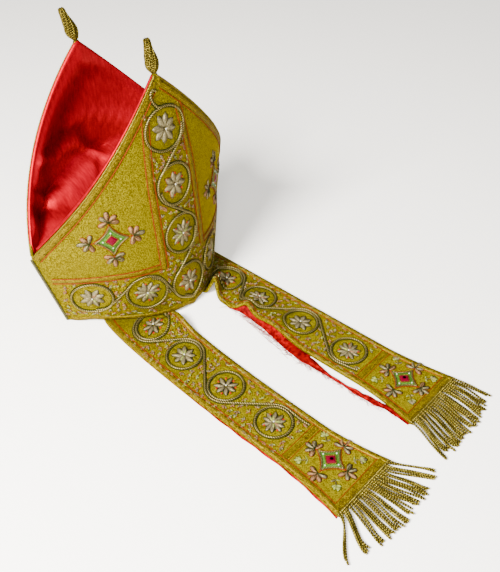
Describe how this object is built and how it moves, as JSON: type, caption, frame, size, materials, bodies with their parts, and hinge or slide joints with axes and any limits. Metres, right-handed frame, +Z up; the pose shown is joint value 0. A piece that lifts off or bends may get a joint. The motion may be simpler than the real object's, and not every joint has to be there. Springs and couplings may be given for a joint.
{
  "type": "bishop mitre",
  "caption": "Tall pointed mitre of two gold embroidered shields with red satin lining, wound finials and two fringed lappets lying behind it.",
  "frame": {"origin": "on the table, in the middle of the seam plane at the rim, so in the middle of the head opening", "axes": "+Z up out of the crown, the front shield faces -Y, the lappets lie towards +Y, +X to the wearer's left"},
  "size_m": [0.2865, 0.5163, 0.3014],
  "materials": {
    "gold_cloth": "metallic gold lame, embroidered with couched cords and braids",
    "red_satin": "smooth bright red satin",
    "red_silk": "thin red silk, slightly frayed at its edge",
    "seam_cord": "twisted grey-green cord",
    "gold_thread": "wound and twisted gold bullion thread",
    "red_glass": "cut and foiled dark red glass"
  },
  "bodies": {
    "root": {"back_shield": "gold_cloth", "front_shield": "gold_cloth", "crown_lining": "red_satin", "seam_cord_left": "seam_cord", "seam_cord_right": "seam_cord", "finial_back": "gold_thread", "finial_front": "gold_thread", "lappet_left": "gold_cloth", "lappet_right": "gold_cloth", "lining_left": "red_silk", "lining_right": "red_silk", "fringe_left": "gold_thread", "fringe_right": "gold_thread", "stone_back_left": "red_glass", "stone_back_right": "red_glass", "stone_front_left": "red_glass", "stone_front_right": "red_glass", "stone_lappet_left": "red_glass", "stone_lappet_right": "red_glass"}
  },
  "joints": []
}
